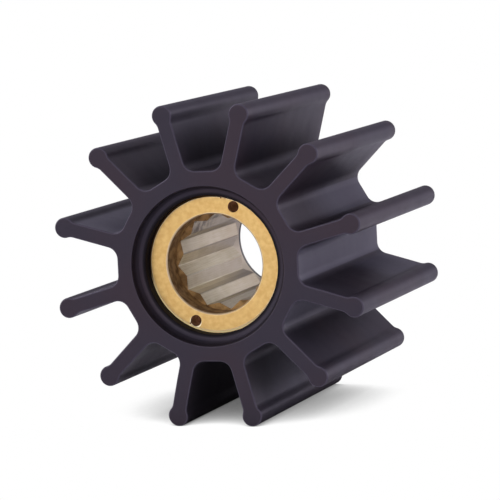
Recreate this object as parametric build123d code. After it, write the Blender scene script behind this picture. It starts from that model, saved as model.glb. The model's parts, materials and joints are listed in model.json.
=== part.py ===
from build123d import *
import math
import os

# A flexible-vane pump impeller as it lies on a bench, in millimetres. The shaft axis runs along Y and
# the face with the puller holes looks towards -Y. Two vane tips stand level on the bench below. The
# origin is on the shaft axis, half way along the width.

# Rubber body
tip_diameter = 95.0  # circle that the vane tips reach
impeller_width = 77.5  # along the shaft axis
vane_count = 12
bead_diameter = 5.8  # round bead along each vane tip
vane_tip_thickness = 4.05  # beside the bead
vane_root_thickness = 4.3  # at the hub
hub_across_flats = 54.6  # the hub has a flat between each two vanes
root_fillet = 3.5  # vane into hub
neck_fillet = 3.2  # vane into bead
rubber_edge_chamfer = 0.4

# Pocket in each end of the rubber, around the insert
pocket_diameter = 45.8
pocket_depth = 3.5
pocket_corner_round = 2.4

# Brass insert, moulded into the rubber
insert_diameter = 40.0
insert_setback = 6.5  # from the rubber's end face back to the insert's
insert_edge_chamfer = 0.7
counterbore_diameter = 28.8
counterbore_depth = 8.0
counterbore_chamfer = 0.3

# Drive spline, from one counterbore to the other
groove_count = 12
spline_major_diameter = 28.4
spline_minor_diameter = 24.8
spline_angle = 6.2  # of one groove, from +X towards +Z
spline_corner_bevel = 0.15  # leaves a narrow flat on each tooth and in each groove

# Blind holes for a puller, in the insert's front face
puller_hole_count = 2
puller_hole_diameter = 3.3
puller_hole_circle = 35.2
puller_hole_angle = 68.4  # of the first hole, from +X towards +Z
puller_hole_depth = 12.0
drill_point_angle = 118.0

# Small damage to the rim of the insert's front face
nick_angle = 81.5  # of the larger nick, from +X towards +Z
nick_step = 3.9  # from the larger nick back to the smaller one
nick_width = 1.2  # of either, where it leaves the insert
large_nick_reach = 1.2  # inwards from there
small_nick_reach = 1.0
nick_depth = 0.45
scratch_offset = 1.3  # sideways from the lower puller hole
scratch_width = 0.35
scratch_depth = 0.4

overrun = 1.0  # how far a cutting shape stands past the face that it enters

bead_radius = bead_diameter / 2
bead_centre = tip_diameter / 2 - bead_radius
hub_flat = hub_across_flats / 2
vane_pitch = 360 / vane_count
lowest_vane_angle = vane_pitch / 2 - 90
rubber_end = impeller_width / 2
insert_radius = insert_diameter / 2
insert_end = rubber_end - insert_setback


def from_axis(corner):
    return round(math.hypot(corner.X, corner.Y), 3)


def on_circle(radius, degrees):
    # A point of an end view, which has the part's X across and its Z upwards.
    return (radius * math.cos(math.radians(degrees)), radius * math.sin(math.radians(degrees)))


def prism(outline, half_length):
    # An end view drawn out along the shaft axis, the same way on both sides of the middle.
    return extrude(Plane.XZ * outline, amount=half_length, both=True)


def round_bar(diameter, start, end):
    # A bar on the shaft axis, between two places along it.
    bar = Cylinder(diameter / 2, end - start, align=(Align.CENTER, Align.CENTER, Align.MIN))
    return Pos(0, start, 0) * Rot(-90, 0, 0) * bar


def turned(shape, degrees):
    # The shape turned about the shaft axis, from +X towards +Z.
    return Rot(0, -degrees, 0) * shape


def hole_rims(body, place):
    # Edges of the openings in the two flat faces that stand this far from the middle.
    faces = [face for face in body.faces().filter_by(Axis.Y) if abs(abs(face.center().Y) - place) < 0.01]
    return [edge for face in faces for wire in face.inner_wires() for edge in wire.edges()]


def web_outline():
    # One vane along +X without its bead, thinning a little outwards.
    lower_side = [
        (0, -vane_root_thickness / 2),
        (hub_flat, -vane_root_thickness / 2),
        (bead_centre, -vane_tip_thickness / 2),
    ]
    upper_side = [(x, -y) for x, y in reversed(lower_side)]
    return Polygon(*lower_side, *upper_side, align=None)


def rubber_outline():
    angles = [lowest_vane_angle + step * vane_pitch for step in range(vane_count)]
    # The hub's corners lie under the vanes.
    outline = RegularPolygon(hub_flat, vane_count, major_radius=False, rotation=lowest_vane_angle)
    for angle in angles:
        outline += Rot(0, 0, angle) * web_outline()
    roots = outline.vertices().group_by(from_axis)[0]
    outline = fillet(roots, root_fillet)
    for angle in angles:
        outline += Rot(0, 0, angle) * Pos(bead_centre, 0) * Circle(bead_radius)
    # The outermost points are the tips of the beads, and next come the two sides of each neck.
    necks = outline.vertices().group_by(from_axis)[-2]
    return fillet(necks, neck_fillet)


def end_pocket():
    # The pocket in the back end, with a large round all along its inner corner.
    bar = round_bar(pocket_diameter, rubber_end - pocket_depth, rubber_end + overrun)
    inner_rim = bar.edges().filter_by(GeomType.CIRCLE).sort_by(Axis.Y)[0]
    return fillet(inner_rim, pocket_corner_round)


def rubber_impeller():
    body = prism(rubber_outline(), rubber_end)
    body = chamfer(body.faces().filter_by(Axis.Y).edges(), rubber_edge_chamfer)
    body -= end_pocket()
    body -= mirror(end_pocket(), about=Plane.XZ)
    body -= round_bar(insert_diameter, -rubber_end, rubber_end)
    return chamfer(hole_rims(body, rubber_end), rubber_edge_chamfer)


def spline_outline():
    # V-shaped grooves with straight sides, and teeth between them that narrow to a small flat.
    groove_pitch = 360 / groove_count
    corners = []
    for step in range(groove_count):
        groove_angle = spline_angle + step * groove_pitch
        corners.append(on_circle(spline_major_diameter / 2, groove_angle))
        corners.append(on_circle(spline_minor_diameter / 2, groove_angle + groove_pitch / 2))
    outline = Polygon(*corners, align=None)
    return chamfer(outline.vertices(), spline_corner_bevel)


def puller_hole():
    # The space of one drilled hole that enters a face at the origin, towards +Y.
    radius = puller_hole_diameter / 2
    point_length = radius / math.tan(math.radians(drill_point_angle / 2))
    half_section = Polygon(
        (0, -overrun),
        (radius, -overrun),
        (radius, puller_hole_depth),
        (0, puller_hole_depth + point_length),
        align=None,
    )
    return revolve(half_section, Axis.Y)


def rim_nick(reach):
    # A small dent in the rim, drawn at +X and narrowing inwards.
    dent = Polygon((0, nick_width / 2), (-reach, 0), (0, -nick_width / 2), align=None)
    return Pos(insert_radius, -insert_end, 0) * prism(dent, nick_depth)


def rim_scratch():
    # A short cut from a puller hole out through the rim, drawn for a hole at +X.
    length = insert_radius - puller_hole_circle / 2 + overrun
    cut = Box(length, 2 * scratch_depth, scratch_width, align=(Align.MIN, Align.CENTER, Align.CENTER))
    return Pos(puller_hole_circle / 2, -insert_end, -scratch_offset) * cut


def brass_insert():
    body = round_bar(insert_diameter, -insert_end, insert_end)
    body = chamfer(body.edges().filter_by(GeomType.CIRCLE), insert_edge_chamfer)
    spline_end = insert_end - counterbore_depth
    body -= round_bar(counterbore_diameter, -insert_end, -spline_end)
    body -= round_bar(counterbore_diameter, spline_end, insert_end)
    body = chamfer(hole_rims(body, insert_end), counterbore_chamfer)
    body -= prism(spline_outline(), spline_end)
    hole = Pos(puller_hole_circle / 2, -insert_end, 0) * puller_hole()
    for step in range(puller_hole_count):
        body -= turned(hole, puller_hole_angle + step * 360 / puller_hole_count)
    body -= turned(rim_nick(large_nick_reach), nick_angle)
    body -= turned(rim_nick(small_nick_reach), nick_angle - nick_step)
    return body - turned(rim_scratch(), puller_hole_angle + 180)


os.makedirs("parts", exist_ok=True)
export_step(rubber_impeller(), "parts/rubber_impeller.step")
export_step(brass_insert(), "parts/brass_insert.step")
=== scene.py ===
import json
import math

import bpy
from mathutils import Matrix, Vector

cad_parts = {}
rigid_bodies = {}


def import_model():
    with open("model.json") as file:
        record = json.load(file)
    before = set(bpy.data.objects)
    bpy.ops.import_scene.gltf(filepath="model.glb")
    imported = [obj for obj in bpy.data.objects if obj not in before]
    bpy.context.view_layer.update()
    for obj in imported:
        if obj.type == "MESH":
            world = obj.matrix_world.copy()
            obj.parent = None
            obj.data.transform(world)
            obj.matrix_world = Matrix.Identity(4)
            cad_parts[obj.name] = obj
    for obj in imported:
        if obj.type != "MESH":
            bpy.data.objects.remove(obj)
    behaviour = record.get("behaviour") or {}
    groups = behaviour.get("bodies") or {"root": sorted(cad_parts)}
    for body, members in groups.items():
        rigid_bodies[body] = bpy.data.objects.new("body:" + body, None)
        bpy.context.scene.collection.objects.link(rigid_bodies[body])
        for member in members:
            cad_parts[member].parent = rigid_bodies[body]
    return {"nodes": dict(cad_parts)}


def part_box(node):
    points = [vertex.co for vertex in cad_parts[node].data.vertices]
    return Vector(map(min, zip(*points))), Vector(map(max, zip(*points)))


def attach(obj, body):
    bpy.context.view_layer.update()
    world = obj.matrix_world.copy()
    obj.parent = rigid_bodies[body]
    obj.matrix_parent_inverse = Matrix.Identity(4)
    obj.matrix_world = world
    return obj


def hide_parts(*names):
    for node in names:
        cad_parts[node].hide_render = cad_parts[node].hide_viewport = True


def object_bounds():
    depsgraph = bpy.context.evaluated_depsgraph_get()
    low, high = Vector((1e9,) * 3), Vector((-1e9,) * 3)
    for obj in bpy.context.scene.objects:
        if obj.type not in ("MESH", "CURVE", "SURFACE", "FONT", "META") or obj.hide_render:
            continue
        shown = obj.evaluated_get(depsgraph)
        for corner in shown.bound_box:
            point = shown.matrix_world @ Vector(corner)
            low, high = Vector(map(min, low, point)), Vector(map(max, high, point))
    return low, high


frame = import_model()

# Rubber pump impeller standing on two of its vane tips, shaft axis along Y, metres throughout.
mm = 0.001
cadLow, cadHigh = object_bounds()
print("frame loaded:", ", ".join(sorted(frame["nodes"])))


def inMetres(*millimetres):
    return [value * mm for value in millimetres]


# Shader helpers

class Wire:
    # one output socket, so that shader maths reads as plain expressions
    def __init__(self, graph, socket):
        self.graph = graph
        self.socket = socket

    def math(self, operation, *values):
        return self.graph.node("ShaderNodeMath", {"operation": operation}, dict(enumerate(values)))

    def __add__(self, other):
        return self.math("ADD", self, other)

    def __radd__(self, other):
        return self.math("ADD", other, self)

    def __sub__(self, other):
        return self.math("SUBTRACT", self, other)

    def __rsub__(self, other):
        return self.math("SUBTRACT", other, self)

    def __mul__(self, other):
        return self.math("MULTIPLY", self, other)

    def __rmul__(self, other):
        return self.math("MULTIPLY", other, self)

    def __pow__(self, other):
        return self.math("POWER", self, other)

    def __neg__(self):
        return self.math("MULTIPLY", self, -1)

    def __abs__(self):
        return self.math("ABSOLUTE", self)


class Graph:
    # an emptied node tree
    def __init__(self, tree):
        self.tree = tree
        self.tree.nodes.clear()

    def node(self, kind, settings, sockets, output=0):
        made = self.tree.nodes.new(kind)
        for name, value in settings.items():
            setattr(made, name, value)
        for name, value in sockets.items():
            if isinstance(value, Wire):
                self.tree.links.new(value.socket, made.inputs[name])
            else:
                made.inputs[name].default_value = value
        return Wire(self, made.outputs[output]) if len(made.outputs) else None

    def place(self):
        # where a point of the surface is, in metres from the part's origin
        return self.node("ShaderNodeTexCoord", {}, {}, "Object")

    def axis(self, vector, letter):
        return self.node("ShaderNodeSeparateXYZ", {}, {0: vector}, letter)

    def joined(self, x, y, z):
        return self.node("ShaderNodeCombineXYZ", {}, {0: x, 1: y, 2: z})

    def stretched(self, vector, factors):
        return self.node("ShaderNodeVectorMath", {"operation": "MULTIPLY"}, {0: vector, 1: factors})

    def step(self, value, low, high):
        # 0 below low and 1 above high, smooth between
        sockets = {"Value": value, "From Min": low, "From Max": high}
        return self.node("ShaderNodeMapRange", {"interpolation_type": "SMOOTHSTEP"}, sockets)

    def band(self, value, low, high, soft):
        # 1 between low and high
        return self.step(value, low - soft, low) * (1 - self.step(value, high, high + soft))

    def noise(self, vector, scale, detail):
        sockets = {"Vector": vector, "Scale": scale, "Detail": detail}
        return self.node("ShaderNodeTexNoise", {}, sockets)

    def patches(self, vector, scale, detail, low, high):
        # noise parted into two tones that meet between the levels low and high
        return self.step(self.noise(vector, scale, detail), low, high)

    def openness(self, reach, samples, **sockets):
        # how much of the space above a point is free, as far as the reach
        sockets["Distance"] = reach
        return self.node("ShaderNodeAmbientOcclusion", {"samples": samples}, sockets, "AO")

    def mix(self, factor, first, second):
        # the colour sockets of a Mix node are its seventh and eighth inputs and its third output
        return self.node("ShaderNodeMix", {"data_type": "RGBA"}, {0: factor, 6: first, 7: second}, 2)

    def bump(self, height, strength, distance):
        sockets = {"Height": height, "Strength": strength, "Distance": distance}
        return self.node("ShaderNodeBump", {}, sockets)

    def finish(self, sockets):
        surface = self.node("ShaderNodeBsdfPrincipled", {}, sockets)
        self.node("ShaderNodeOutputMaterial", {}, {"Surface": surface})


def newMaterial(name):
    material = bpy.data.materials.new(name)
    material.use_nodes = True
    return material, Graph(material.node_tree)


def shade(hexText):
    # a screen colour such as 3f3a45 as linear light
    values = [int(hexText[i:i + 2], 16) / 255 for i in (0, 2, 4)]
    linear = [v / 12.92 if v <= 0.04045 else ((v + 0.055) / 1.055) ** 2.4 for v in values]
    return (*linear, 1.0)


def grey(value):
    return (value, value, value, 1.0)


# Rubber body

rubberSettings = {
    "vaneCount": 12,
    "tipRadius": 47.6 * mm,
    "beadRadius": 2.95 * mm,
    "tipThickness": 4.25 * mm,
    "rootThickness": 4.4 * mm,
    "hubFlat": 27.3 * mm,
    "rootFillet": 3.5 * mm,
    "neckFillet": 3.2 * mm,
    "edgeRound": 0.45 * mm,
    "mouthRadius": 22.9 * mm,
    "mouthRound": 0.4 * mm,
    "pocketDepth": 3.5 * mm,
    "pocketCorner": 2.4 * mm,
    "seatRadius": 20.0 * mm,
    "seatRound": 0.25 * mm,
    # by the vane's angle in degrees: how far its tip leans sideways and outwards, in millimetres
    "bends": {
        15: (0.2, 0.0),
        195: (0.25, 0.0),
        255: (0.6, -0.2),
        285: (-0.25, -0.2),
        345: (-0.3, 0.0),
    },
    # how many pieces each stretch is divided into
    "flatSteps": 3,
    "rootSteps": 8,
    "sideSteps": 8,
    "neckSteps": 6,
    "beadSteps": 14,
    "edgeSteps": 4,
    "cornerSteps": 8,
    "seatSteps": 3,
    "wallSteps": 16,
    # colours and gloss
    "blue": shade("322f37"),
    "brown": shade("362e34"),
    "gloss": 0.18,
    "glossTint": (0.97, 0.84, 0.97, 1.0),
    "roughness": 0.38,
    "cloudRoughness": 0.12,
    "recessRoughness": 0.35,
    "seatRoughness": 0.3,
    # noise: scale and detail, and for patches the levels where the two tones meet
    "tintNoise": (28.0, 2.0, 0.35, 0.65),
    "cloudNoise": (160.0, 4.0),
    "grainNoise": (2600.0, 3.0),
    "grainShare": 0.6,
    "bumpStrength": 0.25,
    "bumpHeight": 0.06 * mm,
    # In the places below, two values are where a fade starts and ends. Three are the low end, the
    # high end and how softly both ends fade.
    # painted shade deep between the vanes: how far to look for open air, and the openness where it fades
    "recessReach": 20.0 * mm,
    "recessSamples": 8,
    "recessOpenness": (0.15, 0.7),
    "recessShade": 0.65,
    # painted shade by the distance from the axis: along the pocket's wall and on the seat round the insert
    "pocketWall": inMetres(22.0, 22.95, 0.3),
    "pocketShade": 0.5,
    "seat": inMetres(20.4, 21.2),
    "seatShade": 0.9,
    # a painted highlight along both ends, by the distance from the middle of the width
    "edge": shade("4c4852"),
    "edgePlace": inMetres(38.25, 38.7, 0.05),
    # a painted sheen on the hub's flats at the right, all but the front of the upper one
    "paintedSheen": shade("56555f"),
    "paintedSheenStrength": 0.85,
    "paintedSheenEnd": inMetres(37.75, 38.25),
    "hubFlats": inMetres(26.5, 28.1, 0.4),
    "paintedSheenRight": inMetres(18.5, 23.5),
    "upperFlat": inMetres(6.5, 8.5),
    "upperFlatBack": inMetres(-20.0, 15.0),
    # and on three vanes: one at the left, one at the right towards the back, and a lower one
    "paintedSheenVanes": [
        {"x": inMetres(-39, -25, 2), "y": inMetres(-60, 60, 1), "z": inMetres(9, 14, 1), "strength": 1.0},
        {"x": inMetres(30, 40, 2), "y": inMetres(18, 60, 18), "z": inMetres(-11, -4.5, 1), "strength": 1.0},
        {"x": inMetres(8, 15, 1), "y": inMetres(0, 60, 30), "z": inMetres(-39, -29, 2), "strength": 0.7},
    ],
}


def turnNormals(centre, radius, start, end, steps):
    # an arc as points with outward normals; a negative radius makes a hollow one
    angles = [start + (end - start) * i / steps for i in range(steps)]
    normals = [Vector((math.cos(a), math.sin(a))) for a in angles]
    return [(centre + n * radius, n) for n in normals]


def straight(start, end, normal, steps):
    return [(start.lerp(end, i / steps), normal) for i in range(steps)]


def heading(vector):
    return math.atan2(vector.y, vector.x)


def turned(vector, angle):
    c = math.cos(angle)
    s = math.sin(angle)
    return Vector((vector.x * c - vector.y * s, vector.x * s + vector.y * c))


def halfVane():
    # from the middle of a hub flat, along the lower side of a vane that points to +X, to its tip
    s = rubberSettings
    halfPitch = math.pi / s["vaneCount"]
    flatNormal = Vector((math.cos(halfPitch), -math.sin(halfPitch)))
    beadCentre = Vector((s["tipRadius"] - s["beadRadius"], 0))
    root = Vector((s["hubFlat"], -s["rootThickness"] / 2))
    along = (Vector((beadCentre.x, -s["tipThickness"] / 2)) - root).normalized()
    sideNormal = Vector((along.y, -along.x))
    side = root.dot(sideNormal)
    # the root fillet's centre is as far outside the hub flat as outside the vane's side
    flatReach = s["hubFlat"] + s["rootFillet"]
    sideReach = side + s["rootFillet"]
    cross = flatNormal.x * sideNormal.y - flatNormal.y * sideNormal.x
    rootCentre = Vector((flatReach * sideNormal.y - sideReach * flatNormal.y,
                         sideReach * flatNormal.x - flatReach * sideNormal.x)) / cross
    # the neck fillet's centre is as far outside the vane's side as outside the bead
    drop = side + s["neckFillet"] - beadCentre.dot(sideNormal)
    back = math.sqrt((s["beadRadius"] + s["neckFillet"]) ** 2 - drop ** 2)
    neckCentre = beadCentre + sideNormal * drop - along * back
    sideAngle = heading(sideNormal)
    neckAngle = heading(neckCentre - beadCentre)
    flatStart = flatNormal * s["hubFlat"]
    flatEnd = rootCentre - flatNormal * s["rootFillet"]
    rootEnd = rootCentre - sideNormal * s["rootFillet"]
    neckStart = neckCentre - sideNormal * s["neckFillet"]
    points = straight(flatStart, flatEnd, flatNormal, s["flatSteps"])
    points += turnNormals(rootCentre, -s["rootFillet"], -halfPitch, sideAngle, s["rootSteps"])
    rootIndex = len(points)
    points += straight(rootEnd, neckStart, sideNormal, s["sideSteps"])
    points += turnNormals(neckCentre, -s["neckFillet"], sideAngle, neckAngle, s["neckSteps"])
    points += turnNormals(beadCentre, s["beadRadius"], neckAngle, 0, s["beadSteps"])
    points.append((Vector((s["tipRadius"], 0)), Vector((1, 0))))
    return points, rootIndex


def bent(point, vaneAngle):
    # the vanes don't all stand straight, and the two lowest give a little under the part's weight
    s = rubberSettings
    reach = max(0, (point.length - s["hubFlat"]) / (s["tipRadius"] - s["hubFlat"]))
    sideways, outwards = s["bends"].get(round(math.degrees(vaneAngle)) % 360, (0, 0))
    outward = Vector((math.cos(vaneAngle), math.sin(vaneAngle)))
    aside = Vector((-outward.y, outward.x))
    return point + (aside * sideways + outward * outwards) * mm * reach ** 2


def quarterRound(radius, steps):
    # pairs of inset and depth, from the wall round to the face
    angles = [math.pi / 2 * i / steps for i in range(steps + 1)]
    return [(radius * (1 - math.cos(a)), radius * (1 - math.sin(a))) for a in angles]


def outerRings(halfWidth):
    # places along the axis with the inset of the outline there, from the front face to the back face
    s = rubberSettings
    edge = reversed(quarterRound(s["edgeRound"], s["edgeSteps"]))
    front = [(-halfWidth + depth, inset) for inset, depth in edge]
    wall = halfWidth - s["edgeRound"]
    middle = [(-wall + 2 * wall * i / s["wallSteps"], 0.0) for i in range(1, s["wallSteps"])]
    back = [(-y, inset) for y, inset in reversed(front)]
    return front + middle + back


def innerRings(halfWidth):
    # places along the axis with the radius of the pocket or the seat there, front face to back face
    s = rubberSettings
    floor = halfWidth - s["pocketDepth"]
    mouth = reversed(quarterRound(s["mouthRound"], s["edgeSteps"]))
    corner = quarterRound(s["pocketCorner"], s["cornerSteps"])
    seat = reversed(quarterRound(s["seatRound"], s["seatSteps"]))
    rings = [(halfWidth - depth, s["mouthRadius"] + inset) for inset, depth in mouth]
    rings += [(floor + depth, s["mouthRadius"] - inset) for inset, depth in corner]
    rings += [(floor - depth, s["seatRadius"] + inset) for inset, depth in seat]
    front = [(-y, radius) for y, radius in rings]
    back = [(y, radius) for y, radius in reversed(rings)]
    return front + [(0.0, s["seatRadius"])] + back


def tube(start, rings, around):
    # faces that look outwards, between each ring of points and the next
    faces = []
    for ring in range(rings - 1):
        for i in range(around):
            a = start + ring * around + i
            b = start + ring * around + (i + 1) % around
            faces.append((a, b, b + around, a + around))
    return faces


def rubberMesh():
    s = rubberSettings
    halfWidth = cadHigh[1]
    half, rootIndex = halfVane()
    last = len(half) - 1
    upper = [(Vector((p.x, -p.y)), Vector((n.x, -n.y))) for p, n in reversed(half[1:last])]
    sector = half + upper
    perSector = len(sector)
    pitch = 2 * math.pi / s["vaneCount"]
    outline = []
    for k in range(s["vaneCount"]):
        angle = pitch / 2 - math.pi / 2 + k * pitch
        outline += [(bent(turned(p, angle), angle), turned(n, angle)) for p, n in sector]
    count = len(outline)
    outer = outerRings(halfWidth)
    verts = []
    for y, inset in outer:
        flat = [p - n * inset for p, n in outline]
        verts += [(p.x, y, p.y) for p in flat]
    faces = tube(0, len(outer), count)
    # the hub's part of each sector, which the pocket's circles follow point by point
    hubChain = list(range(rootIndex + 1)) + list(range(2 * last - rootIndex, perSector))
    chain = [k * perSector + i for k in range(s["vaneCount"]) for i in hubChain]
    headings = [heading(outline[i][0]) for i in chain]
    inner = innerRings(halfWidth)
    innerStart = len(verts)
    for y, radius in inner:
        verts += [(radius * math.cos(a), y, radius * math.sin(a)) for a in headings]
    around = len(chain)
    # these look towards the axis
    faces += [(b, a, d, c) for a, b, c, d in tube(innerStart, len(inner), around)]
    # both end faces: the ring round the pocket, then a strip across each vane
    for ring, innerRing, front in ((0, 0, True), (len(outer) - 1, len(inner) - 1, False)):
        outerBase = ring * count
        innerBase = innerStart + innerRing * around
        caps = []
        for i in range(around):
            j = (i + 1) % around
            caps.append((outerBase + chain[i], innerBase + i, innerBase + j, outerBase + chain[j]))
        for k in range(s["vaneCount"]):
            base = outerBase + k * perSector
            for i in range(rootIndex, last - 1):
                caps.append((base + i, base + 2 * last - i, base + 2 * last - i - 1, base + i + 1))
            caps.append((base + last - 1, base + last + 1, base + last))
        faces += caps if front else [tuple(reversed(cap)) for cap in caps]
    mesh = bpy.data.meshes.new("rubberImpeller")
    mesh.from_pydata(verts, [], faces)
    mesh.validate()
    mesh.shade_smooth()
    return mesh


def mouldedRubber():
    material, g = newMaterial("mouldedRubber")
    s = rubberSettings
    place = g.place()
    x = g.axis(place, "X")
    y = g.axis(place, "Y")
    z = g.axis(place, "Z")
    depth = abs(y)
    radius = (x * x + z * z) ** 0.5
    tint = g.patches(place, *s["tintNoise"])
    cloud = g.noise(place, *s["cloudNoise"])
    grain = g.noise(place, *s["grainNoise"])
    height = s["grainShare"] * grain + (1 - s["grainShare"]) * cloud
    colour = g.mix(tint, s["blue"], s["brown"])

    # painted shade deep between the vanes, where the rubber is also rougher
    recess = 1 - g.step(g.openness(s["recessReach"], s["recessSamples"]), *s["recessOpenness"])
    colour = g.mix(s["recessShade"] * recess, colour, grey(0.0))

    # the painted sheen, which stops short of both ends
    unsheened = g.step(z, *s["upperFlat"]) * (1 - g.step(y, *s["upperFlatBack"]))
    paintedSheen = g.band(radius, *s["hubFlats"]) * g.step(x, *s["paintedSheenRight"]) * (1 - unsheened)
    for vane in s["paintedSheenVanes"]:
        inside = g.band(x, *vane["x"]) * g.band(y, *vane["y"]) * g.band(z, *vane["z"])
        paintedSheen = paintedSheen + vane["strength"] * inside
    paintedSheen = paintedSheen * (1 - g.step(depth, *s["paintedSheenEnd"]))
    colour = g.mix(s["paintedSheenStrength"] * paintedSheen, colour, s["paintedSheen"])

    # painted shade on the pocket's wall and the seat, and a painted highlight in a paler line round
    # both ends
    onWall = g.band(radius, *s["pocketWall"])
    onSeat = 1 - g.step(radius, *s["seat"])
    colour = g.mix(s["pocketShade"] * onWall + s["seatShade"] * onSeat, colour, grey(0.0))
    onEdgeHighlight = (1 - onWall) * g.band(depth, *s["edgePlace"])

    roughness = s["roughness"] + s["cloudRoughness"] * (cloud - 0.5)
    g.finish({
        "Base Color": g.mix(onEdgeHighlight, colour, s["edge"]),
        "Roughness": roughness + s["recessRoughness"] * recess + s["seatRoughness"] * onSeat,
        "Specular IOR Level": s["gloss"],
        "Specular Tint": s["glossTint"],
        "Normal": g.bump(height, s["bumpStrength"], s["bumpHeight"]),
    })
    return material


def buildRubber():
    rubber = bpy.data.objects.new("rubberBody", rubberMesh())
    bpy.context.scene.collection.objects.link(rubber)
    rubber.data.materials.append(mouldedRubber())
    weighted = rubber.modifiers.new("flatEnds", "WEIGHTED_NORMAL")
    weighted.keep_sharp = True
    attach(rubber, "root")
    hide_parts("rubber_impeller")
    print("rubber body:", len(rubber.data.polygons), "faces")
    return rubber


# Brass insert

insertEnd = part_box("brass_insert")[1].y

brassSettings = {
    "fade": 0.05 * mm,  # at the borders between the insert's parts
    # distances from the middle of the width
    "insertEnd": insertEnd,
    "counterboreEnd": insertEnd - 0.35 * mm,
    "farRimStart": insertEnd - 1.9 * mm,
    "splineEnd": insertEnd - 8.0 * mm,
    # distances from the axis
    "toothTip": 12.52 * mm,
    "boreEdge": 15.0 * mm,
    "holes": inMetres(15.7, 19.3),
    "rimEdge": 19.0 * mm,
    "rimStart": 19.35 * mm,
    # heights, and last a stretch along the axis
    "rimTurn": inMetres(-8.0, -2.0),
    "midFlankHeights": inMetres(-9.0, 1.9),
    "brownHeight": inMetres(6.0, 8.5),
    "brownEnd": inMetres(-20.0, 0.0),
    # a painted highlight: the pale crescent round the lower hole
    "crescentReach": 17.95 * mm,
    "crescentTurn": math.radians(248.4),
    "crescentRadius": 1.85 * mm,
    # colours
    "ring": shade("e3c37d"),
    "ringDeep": shade("c59a57"),
    "crescentHighlight": shade("fff0c8"),
    "paleEdge": shade("f2e0b8"),
    "rimShade": shade("6a4c28"),
    "rimPaintedGlow": shade("b09866"),
    "counterbore": shade("b8925a"),
    "counterboreDeep": shade("7c5c32"),
    "flank": shade("fff6dc"),
    "flankDeep": shade("e4d7b2"),
    "tooth": shade("6e5c40"),
    "farWall": shade("b4a68a"),
    "farRim": shade("2e281e"),
    "hole": shade("5c3c2c"),
    "holeDeep": shade("36200f"),
    # how much of the other colour each place takes
    "paleEdgeAmount": 0.8,
    "toothAmount": 0.6,
    "farAmount": 0.62,
    "outerFlankAmount": 0.25,
    "brownAmount": 0.9,
    # how far each place is metal, how rough, and the painted glow of the holes and the lower rim
    "metal": 0.9,
    "rimMetalLoss": 0.8,
    "nearWallMetalLoss": 0.75,
    "farWallMetalLoss": 0.5,
    "roughness": 0.42,
    "lineRoughness": 0.1,
    "nearWallRoughness": 0.35,
    "paintedGlow": 0.8,
    # noise: scale and detail, and for patches the levels where the two tones meet
    "turnedNoise": (9000.0, 2.0),
    "sweptNoise": (5200.0, 3.0),
    "sweptStretch": (1.0, 0.02, 1.0),
    "sweptLevels": (0.3, 0.7),
    "cloudNoise": (220.0, 4.0),
    "patchyNoise": (420.0, 3.0, 0.35, 0.65),
    "mottleNoise": (650.0, 5.0, 0.3, 0.7),
    "paleEdgeNoise": (150.0, 3.0, 0.2, 0.5),
    "bumpStrength": 0.2,
    "bumpHeight": 0.03 * mm,
}


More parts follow.
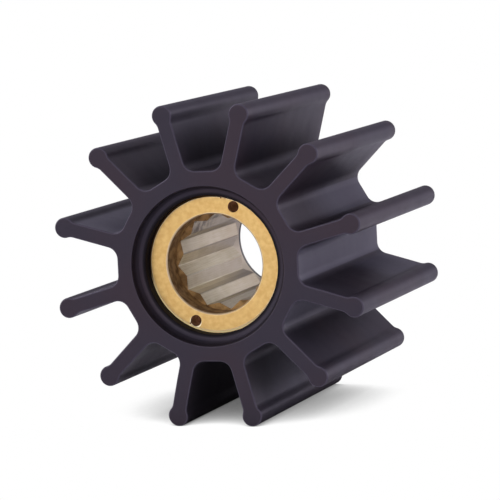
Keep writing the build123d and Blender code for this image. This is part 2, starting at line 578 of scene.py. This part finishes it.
def machinedBrass():
    material, g = newMaterial("machinedBrass")
    s = brassSettings
    fade = s["fade"]
    place = g.place()
    x = g.axis(place, "X")
    y = g.axis(place, "Y")
    z = g.axis(place, "Z")
    depth = abs(y)
    radius = (x * x + z * z) ** 0.5
    turnedLines = g.noise(g.joined(radius, depth, 0.0), *s["turnedNoise"])
    sweptLines = g.noise(g.stretched(place, s["sweptStretch"]), *s["sweptNoise"])
    cloud = g.noise(place, *s["cloudNoise"])
    patchy = g.patches(place, *s["patchyNoise"])
    mottle = g.patches(place, *s["mottleNoise"])

    # masks of the insert's parts: the rim's chamfer, the bore, the two holes and both counterbores
    onRim = g.step(radius, s["rimStart"], s["rimStart"] + fade)
    onFace = g.step(depth, s["counterboreEnd"], s["counterboreEnd"] + fade)
    inBore = (1 - onFace) * (1 - onRim)
    belowFace = 1 - g.step(depth, s["insertEnd"] - 2 * fade, s["insertEnd"] - fade)
    inHole = belowFace * g.band(radius, *s["holes"], fade)
    atFront = g.step(-y, s["splineEnd"] - 2 * fade, s["splineEnd"] - fade)
    atBack = g.step(y, s["splineEnd"], s["splineEnd"] + 2 * fade)
    atFarRim = g.step(y, s["farRimStart"], s["farRimStart"] + 2 * fade)

    # the ring is paler in patches along its two edges
    ring = g.mix(0.45 * mottle + 0.35 * cloud + 0.2 * turnedLines, s["ringDeep"], s["ring"])
    nearEdge = 1 - g.band(radius, s["boreEdge"], s["rimEdge"], 8 * fade)
    paleEdge = nearEdge * g.patches(place, *s["paleEdgeNoise"])
    ring = g.mix(s["paleEdgeAmount"] * paleEdge, ring, s["paleEdge"])
    # painted light and shade on the rim's chamfer: pale and glowing below, dark above
    upper = g.step(z, *s["rimTurn"])
    ring = g.mix(onRim, ring, g.mix(upper, s["paleEdge"], s["rimShade"]))
    aside = x - s["crescentReach"] * math.cos(s["crescentTurn"])
    above = z - s["crescentReach"] * math.sin(s["crescentTurn"])
    away = (aside * aside + above * above) ** 0.5
    onCrescentHighlight = 1 - g.step(away, s["crescentRadius"] - 2 * fade, s["crescentRadius"])
    ring = g.mix(onCrescentHighlight * atFront, ring, s["crescentHighlight"])

    # the spline, darker on its teeth's narrow flats, which lie nearest the axis, and with painted shade
    # towards the back
    onTooth = 1 - g.step(radius, s["toothTip"] - 2 * fade, s["toothTip"])
    swept = g.step(0.35 * cloud + 0.65 * sweptLines, *s["sweptLevels"])
    flank = g.mix(swept, s["flankDeep"], s["flank"])
    flank = g.mix(s["toothAmount"] * onTooth, flank, s["tooth"])
    alongBore = g.step(y, -s["splineEnd"], s["splineEnd"])
    flank = g.mix(s["farAmount"] * alongBore, flank, s["tooth"])
    # painted light: the flanks between two heights are lighter than the rest
    midFlanks = g.band(z, *s["midFlankHeights"], fade)
    flank = g.mix(s["outerFlankAmount"] * (1 - midFlanks), flank, s["tooth"])
    # darker brown patches over the upper teeth near the front
    brownPatches = patchy * g.step(z, *s["brownHeight"]) * (1 - g.step(y, *s["brownEnd"]))
    flank = g.mix(s["brownAmount"] * brownPatches, flank, s["tooth"])

    # painted shade: the near counterbore's wall is a darker brown, for the shade and dark reflections in it
    shadedNearWall = g.mix(patchy, s["counterboreDeep"], s["counterbore"])
    farWall = g.mix(atFarRim, s["farWall"], s["farRim"])
    bore = g.mix(atBack, g.mix(atFront, flank, shadedNearWall), farWall)
    hole = g.mix(patchy, s["holeDeep"], s["hole"])
    # painted light: the holes glow in their own brown
    paintedGlow = g.mix(inHole, grey(0.0), hole)
    metal = s["metal"] * (1 - inHole) * (1 - s["rimMetalLoss"] * onRim)
    metalLoss = s["nearWallMetalLoss"] * atFront + s["farWallMetalLoss"] * atBack
    roughness = s["roughness"] + s["lineRoughness"] * (turnedLines - 0.5)
    g.finish({
        "Base Color": g.mix(inHole, g.mix(inBore, ring, bore), hole),
        "Metallic": metal - metalLoss * inBore,
        "Emission Color": g.mix(onRim * (1 - upper), paintedGlow, s["rimPaintedGlow"]),
        "Emission Strength": s["paintedGlow"],
        "Roughness": roughness + s["nearWallRoughness"] * atFront * inBore,
        "Normal": g.bump(turnedLines, s["bumpStrength"], s["bumpHeight"]),
    })
    return material


def dressBrass():
    brass = frame["nodes"]["brass_insert"]
    brass.data.materials.clear()
    brass.data.materials.append(machinedBrass())
    print("brass insert dressed")


rubberBody = buildRubber()
dressBrass()


# Studio

studio = {
    "sky": 0.31,
    "softness": 50.0,
    "floorSize": 24.0,
    "floorTone": 0.88,  # for the light that it throws back on the part
    # as the camera sees it, with a painted shadow: from how open it is towards one side of the sky
    "floorDark": 0.04,
    "floorGain": 2.04,
    "floorTowards": (0.05, -0.31, 0.95),
    "floorReach": 0.3,
    "floorSamples": 32,
}

cool = (1.0, 0.94, 1.15)
neutral = (1.0, 1.0, 1.0)

softboxes = {
    "overhead": {"from": (-0.05, 0.0, 1.0), "strength": 0.1, "tint": cool},
    "front": {"from": (0.0, -1.0, 0.14), "strength": 1.12, "tint": neutral},
    "frontLeft": {"from": (-0.7, -0.7, 0.14), "strength": 0.84, "tint": neutral},
    "left": {"from": (-0.77, 0.0, 0.64), "strength": 1.27, "tint": cool},
    "backRight": {"from": (0.7, 0.7, 0.14), "strength": 0.65, "tint": cool},
    "right": {"from": (1.0, 0.1, 0.1), "strength": 0.8, "tint": cool},
    "back": {"from": (0.4, 0.9, 0.0), "strength": 0.61, "tint": neutral, "softness": 70.0},
}


def buildFloor():
    half = studio["floorSize"] / 2
    corners = [(-half, -half, 0), (half, -half, 0), (half, half, 0), (-half, half, 0)]
    mesh = bpy.data.meshes.new("floor")
    mesh.from_pydata(corners, [], [(0, 1, 2, 3)])
    floor = bpy.data.objects.new("floor", mesh)
    floor.location = (0, 0, min(v.co.z for v in rubberBody.data.vertices))
    bpy.context.scene.collection.objects.link(floor)
    # seen white, with a painted shadow only where the part keeps the open sky from it
    material, g = newMaterial("paleFloor")
    towards = g.joined(*studio["floorTowards"])
    openness = g.openness(studio["floorReach"], studio["floorSamples"], Normal=towards)
    tone = studio["floorDark"] + studio["floorGain"] * openness
    white = g.node("ShaderNodeEmission", {}, {"Color": grey(1.0)})
    seen = g.node("ShaderNodeMixShader", {}, {0: tone, 2: white})  # nothing at input 1 is black
    sheet = g.node("ShaderNodeBsdfDiffuse", {}, {"Color": grey(studio["floorTone"])})
    direct = g.node("ShaderNodeLightPath", {}, {}, "Is Camera Ray")
    surface = g.node("ShaderNodeMixShader", {}, {0: direct, 1: sheet, 2: seen})
    g.node("ShaderNodeOutputMaterial", {}, {"Surface": surface})
    mesh.materials.append(material)


def buildSky():
    # the backdrop is seen white and lights less
    world = bpy.data.worlds.new("studioSky")
    bpy.context.scene.world = world
    world.use_nodes = True
    g = Graph(world.node_tree)
    lit = g.node("ShaderNodeBackground", {}, {"Color": (*cool, 1.0), "Strength": studio["sky"]})
    seen = g.node("ShaderNodeBackground", {}, {"Color": grey(1.0), "Strength": 1.0})
    direct = g.node("ShaderNodeLightPath", {}, {}, "Is Camera Ray")
    surface = g.node("ShaderNodeMixShader", {}, {0: direct, 1: lit, 2: seen})
    g.node("ShaderNodeOutputWorld", {}, {"Surface": surface})


def buildLights():
    for name, box in softboxes.items():
        lamp = bpy.data.lights.new(name, "SUN")
        lamp.angle = math.radians(box.get("softness", studio["softness"]))
        lamp.energy = box["strength"]
        lamp.color = box["tint"]
        holder = bpy.data.objects.new(name, lamp)
        holder.rotation_euler = Vector(box["from"]).to_track_quat("Z", "Y").to_euler()
        bpy.context.scene.collection.objects.link(holder)
    # the light from behind is for the bore alone, and leaves the rubber out
    leftOut = bpy.data.collections.new("notLitFromBehind")
    leftOut.objects.link(rubberBody)
    leftOut.collection_objects[0].light_linking.link_state = "EXCLUDE"
    bpy.data.objects["back"].light_linking.receiver_collection = leftOut


photoCamera = {
    "azimuth": 19.245,
    "elevation": 6.367,
    "roll": -2.778,
    "distance": 961.2 * mm,
    "lens": 234.4,
    "sensor": 36.0,
    "acrossOffset": 0.31 * mm,
    "upOffset": -0.08 * mm,
}


def buildCamera():
    c = photoCamera
    azimuth = math.radians(c["azimuth"])
    elevation = math.radians(c["elevation"])
    roll = math.radians(c["roll"])
    back = Vector((math.sin(azimuth) * math.cos(elevation),
                   -math.cos(azimuth) * math.cos(elevation),
                   math.sin(elevation)))
    level = (-back).cross(Vector((0, 0, 1))).normalized()
    upright = level.cross(-back)
    across = level * math.cos(roll) + upright * math.sin(roll)
    up = upright * math.cos(roll) - level * math.sin(roll)
    lens = bpy.data.cameras.new("photoCamera")
    lens.lens = c["lens"]
    lens.sensor_width = c["sensor"]
    camera = bpy.data.objects.new("photoCamera", lens)
    place = back * c["distance"] - across * c["acrossOffset"] - up * c["upOffset"]
    camera.matrix_world = Matrix.Translation(place) @ Matrix((across, up, back)).transposed().to_4x4()
    bpy.context.scene.collection.objects.link(camera)
    bpy.context.scene.camera = camera


buildFloor()
buildSky()
buildLights()
buildCamera()
bpy.context.scene.view_settings.view_transform = "Standard"
print("studio ready")
